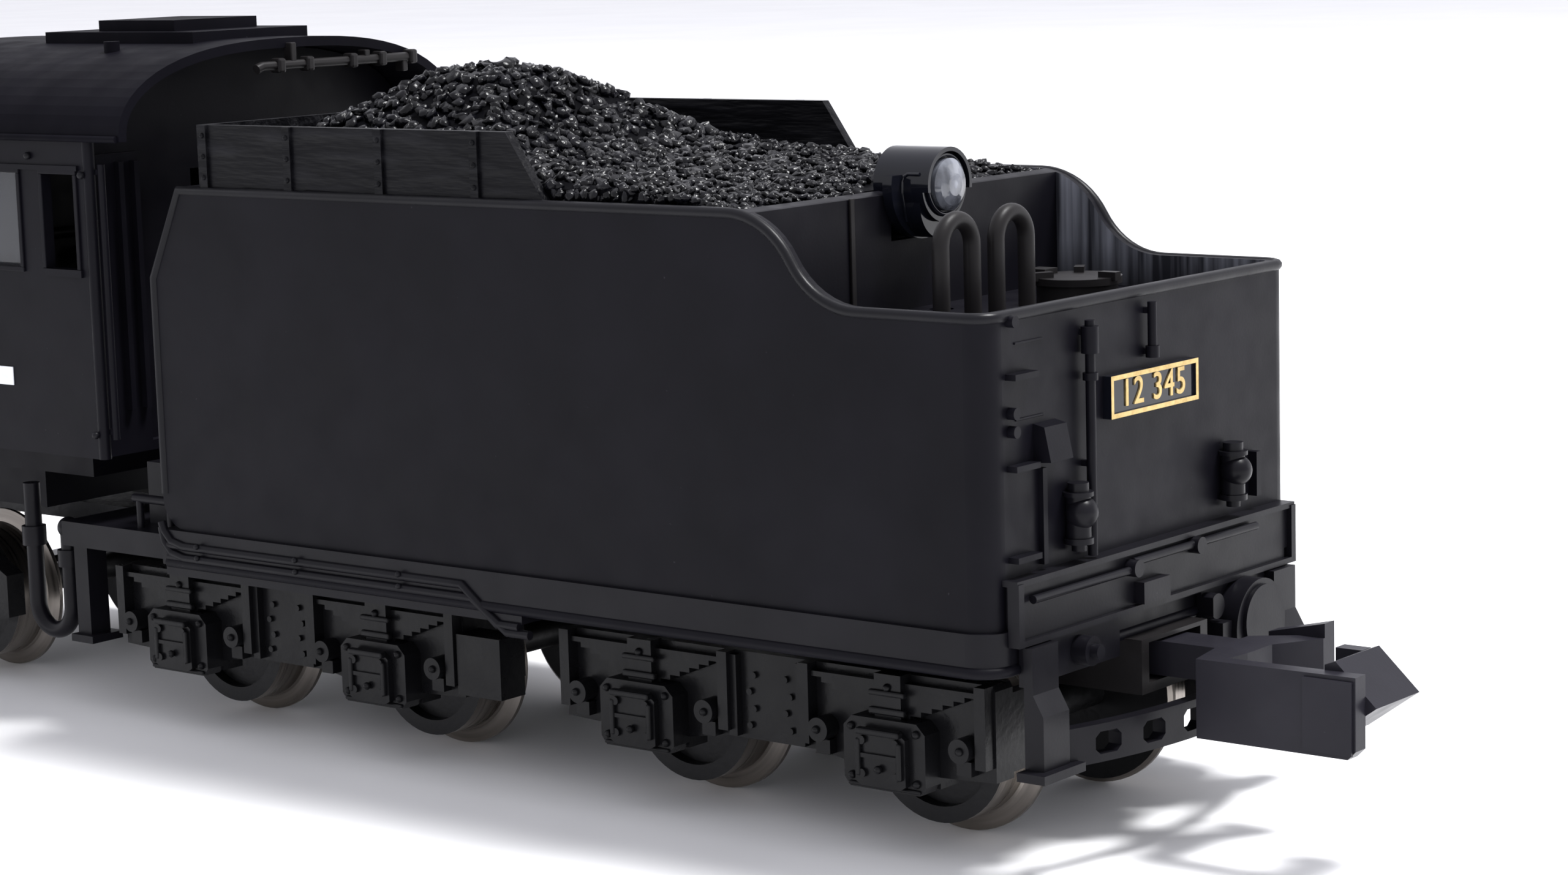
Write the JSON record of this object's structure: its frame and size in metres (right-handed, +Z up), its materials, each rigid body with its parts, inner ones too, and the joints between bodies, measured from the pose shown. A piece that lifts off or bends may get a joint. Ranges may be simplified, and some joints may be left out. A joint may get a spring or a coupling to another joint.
{
  "type": "model steam locomotive with tender",
  "caption": "Small-gauge model steam locomotive with a coal tender, riding on coupled driving wheels, carrying trucks and swivelling tender bogies, with a hook coupler.",
  "frame": {"origin": "on the table under the middle of the train, level with the bottoms of the wheel flanges; the rail tops are 0.6 mm above it", "axes": "+X forwards along the train, +Y to the left side of the train, +Z up"},
  "size_m": [0.137, 0.0198, 0.028],
  "materials": {
    "body_black": "satin near-black, very slightly blue",
    "boards_black": "satin black planks with faint grain",
    "coal": "glossy broken lumps",
    "ballast": "plain grey casting",
    "circuit_board": "green board",
    "lamp_black": "glossy black",
    "lens": "clear moulded lens with a pale rim",
    "dark_trim": "dark grey moulded trim",
    "brass_trim": "brass-coloured border",
    "coupler_grey": "warm dark grey",
    "wheel_metal": "bright treads, blackened faces",
    "driver_metal": "bright treads, dark faces",
    "rod_steel": "bright nickel",
    "frame_metal": "dark casting",
    "motor_metal": "plain steel can",
    "gear_brass": "machined",
    "window_clear": "clear glazing",
    "spring_steel": "bright wire"
  },
  "bodies": {
    "locomotive": {"loco_frame": "frame_metal", "keeper_plate": "body_black", "boiler_shell": "body_black", "smokebox_front": "body_black", "running_boards": "body_black", "smoke_deflectors": "body_black", "front_lamp": "lamp_black", "front_lamp_lens": "lens", "cab_shell": "body_black", "cab_roof": "body_black", "cab_windows": "window_clear", "cab_backhead": "dark_trim", "cylinder_block": "body_black", "pilot_beam": "body_black", "front_coupler": "coupler_grey", "valve_gear": "rod_steel", "boiler_pipes": "dark_trim", "motor": "motor_metal"},
    "tender": {"tender_shell": "body_black", "bunker_boards": "boards_black", "coal_load": "coal", "tender_chassis": "body_black", "tender_weight": "ballast", "tail_light_board": "circuit_board", "tail_lamp_housing": "lamp_black", "tail_lamp_lens": "lens", "tank_hoops": "dark_trim", "water_hatch": "dark_trim", "rear_fittings": "body_black", "marker_lamps": "lamp_black", "number_plate": "brass_trim", "rear_beam": "body_black", "rear_steps": "body_black", "bogie_screws": "rod_steel", "coupler_pocket": "dark_trim", "coupler_spring": "spring_steel"},
    "drawbar": {"drawbar": "dark_trim"},
    "coupler": {"rear_coupler": "coupler_grey"},
    "front_bogie": {"front_bogie_frame": "body_black"},
    "rear_bogie": {"rear_bogie_frame": "body_black"},
    "tender_axle_1": {"tender_wheelset_1": "wheel_metal"},
    "tender_axle_2": {"tender_wheelset_2": "wheel_metal"},
    "tender_axle_3": {"tender_wheelset_3": "wheel_metal"},
    "tender_axle_4": {"tender_wheelset_4": "wheel_metal"},
    "driver_axle_1": {"driver_wheelset_1": "driver_metal"},
    "driver_axle_2": {"driver_wheelset_2": "driver_metal"},
    "driver_axle_3": {"driver_wheelset_3": "driver_metal", "worm_gear": "gear_brass"},
    "driver_axle_4": {"driver_wheelset_4": "driver_metal"},
    "motor_rotor": {"motor_shaft": "rod_steel"},
    "side_rod_left": {"left_side_rod": "rod_steel"},
    "side_rod_right": {"right_side_rod": "rod_steel"},
    "main_rod_left": {"left_main_rod": "rod_steel"},
    "main_rod_right": {"right_main_rod": "rod_steel"},
    "crosshead_left": {"left_crosshead": "rod_steel"},
    "crosshead_right": {"right_crosshead": "rod_steel"},
    "lead_truck": {"lead_truck_frame": "dark_trim"},
    "lead_axle": {"lead_wheelset": "wheel_metal"},
    "trail_truck": {"trail_truck_frame": "body_black"},
    "trail_axle": {"trail_wheelset": "wheel_metal"}
  },
  "joints": [
    {"name": "drawbar_engine_swing", "type": "hinge", "parent": "locomotive", "child": "drawbar", "pos_m": [-0.0085, 0, 0.0057], "axis": [0, 0, 1], "range_deg": [-8, 8]},
    {"name": "drawbar_tender_swing", "type": "hinge", "parent": "drawbar", "child": "tender", "pos_m": [-0.0145, 0, 0.0057], "axis": [0, 0, 1], "range_deg": [-8, 8]},
    {"name": "coupler_swing", "type": "hinge", "parent": "tender", "child": "coupler", "pos_m": [-0.0581, 0, 0.00615], "axis": [0, 0, 1], "range_deg": [-10, 10], "stiffness_Nm_per_rad": 0.0001},
    {"name": "rear_bogie_swivel", "type": "hinge", "parent": "tender", "child": "rear_bogie", "pos_m": [-0.048, 0, 0.0059], "axis": [0, 0, 1], "range_deg": [-8, 8]},
    {"name": "front_bogie_swivel", "type": "hinge", "parent": "tender", "child": "front_bogie", "pos_m": [-0.0238, 0, 0.0059], "axis": [0, 0, 1], "range_deg": [-8, 8]},
    {"name": "tender_axle_1_spin", "type": "hinge", "parent": "rear_bogie", "child": "tender_axle_1", "pos_m": [-0.0535, 0, 0.00345], "axis": [0, 1, 0], "continuous": true},
    {"name": "tender_axle_2_spin", "type": "hinge", "parent": "rear_bogie", "child": "tender_axle_2", "pos_m": [-0.0425, 0, 0.00345], "axis": [0, 1, 0], "continuous": true},
    {"name": "tender_axle_3_spin", "type": "hinge", "parent": "front_bogie", "child": "tender_axle_3", "pos_m": [-0.0293, 0, 0.00345], "axis": [0, 1, 0], "continuous": true},
    {"name": "tender_axle_4_spin", "type": "hinge", "parent": "front_bogie", "child": "tender_axle_4", "pos_m": [-0.0183, 0, 0.00345], "axis": [0, 1, 0], "continuous": true},
    {"name": "driver_3_spin", "type": "hinge", "parent": "locomotive", "child": "driver_axle_3", "pos_m": [0.0238, 0, 0.0051], "axis": [0, 1, 0], "continuous": true},
    {"name": "driver_1_spin", "type": "hinge", "parent": "locomotive", "child": "driver_axle_1", "pos_m": [0.0444, 0, 0.0051], "axis": [0, 1, 0], "continuous": true},
    {"name": "driver_2_spin", "type": "hinge", "parent": "locomotive", "child": "driver_axle_2", "pos_m": [0.0341, 0, 0.0051], "axis": [0, 1, 0], "continuous": true},
    {"name": "driver_4_spin", "type": "hinge", "parent": "locomotive", "child": "driver_axle_4", "pos_m": [0.0135, 0, 0.0051], "axis": [0, 1, 0], "continuous": true},
    {"name": "motor_spin", "type": "hinge", "parent": "locomotive", "child": "motor_rotor", "pos_m": [0.0238, 0, 0.00985], "axis": [1, 0, 0], "continuous": true},
    {"name": "left_side_rod_turn", "type": "hinge", "parent": "driver_axle_3", "child": "side_rod_left", "pos_m": [0.0238, 0.00645, 0.0029], "axis": [0, 1, 0], "continuous": true},
    {"name": "right_side_rod_turn", "type": "hinge", "parent": "driver_axle_3", "child": "side_rod_right", "pos_m": [0.026, -0.00645, 0.0051], "axis": [0, 1, 0], "continuous": true},
    {"name": "left_main_rod_turn", "type": "hinge", "parent": "driver_axle_3", "child": "main_rod_left", "pos_m": [0.0238, 0.00715, 0.0029], "axis": [0, 1, 0], "continuous": true},
    {"name": "right_main_rod_turn", "type": "hinge", "parent": "driver_axle_3", "child": "main_rod_right", "pos_m": [0.026, -0.00715, 0.0051], "axis": [0, 1, 0], "continuous": true},
    {"name": "left_crosshead_slide", "type": "slide", "parent": "locomotive", "child": "crosshead_left", "axis": [1, 0, 0], "range_m": [-0.00208, 0.00232]},
    {"name": "right_crosshead_slide", "type": "slide", "parent": "locomotive", "child": "crosshead_right", "axis": [1, 0, 0], "range_m": [-0.0044, 0]},
    {"name": "lead_truck_swing", "type": "hinge", "parent": "locomotive", "child": "lead_truck", "pos_m": [0.05, 0, 0.0021], "axis": [0, 0, 1], "range_deg": [-6, 6]},
    {"name": "lead_axle_spin", "type": "hinge", "parent": "lead_truck", "child": "lead_axle", "pos_m": [0.06, 0, 0.00345], "axis": [0, 1, 0], "continuous": true},
    {"name": "trail_truck_swing", "type": "hinge", "parent": "locomotive", "child": "trail_truck", "pos_m": [0.009, 0, 0.0031], "axis": [0, 0, 1], "range_deg": [-6, 6]},
    {"name": "trail_axle_spin", "type": "hinge", "parent": "trail_truck", "child": "trail_axle", "pos_m": [-0.002, 0, 0.00345], "axis": [0, 1, 0], "continuous": true}
  ],
  "couplings": [
    {"joint": "driver_1_spin", "follows": "driver_3_spin", "ratio": 1},
    {"joint": "driver_2_spin", "follows": "driver_3_spin", "ratio": 1},
    {"joint": "driver_4_spin", "follows": "driver_3_spin", "ratio": 1},
    {"joint": "motor_spin", "follows": "driver_3_spin", "ratio": -20},
    {"joint": "left_side_rod_turn", "follows": "driver_3_spin", "ratio": -1},
    {"joint": "right_side_rod_turn", "follows": "driver_3_spin", "ratio": -1},
    {"joint": "left_main_rod_turn", "follows": "driver_3_spin", "ratio": -1},
    {"joint": "right_main_rod_turn", "follows": "driver_3_spin", "ratio": -1}
  ]
}
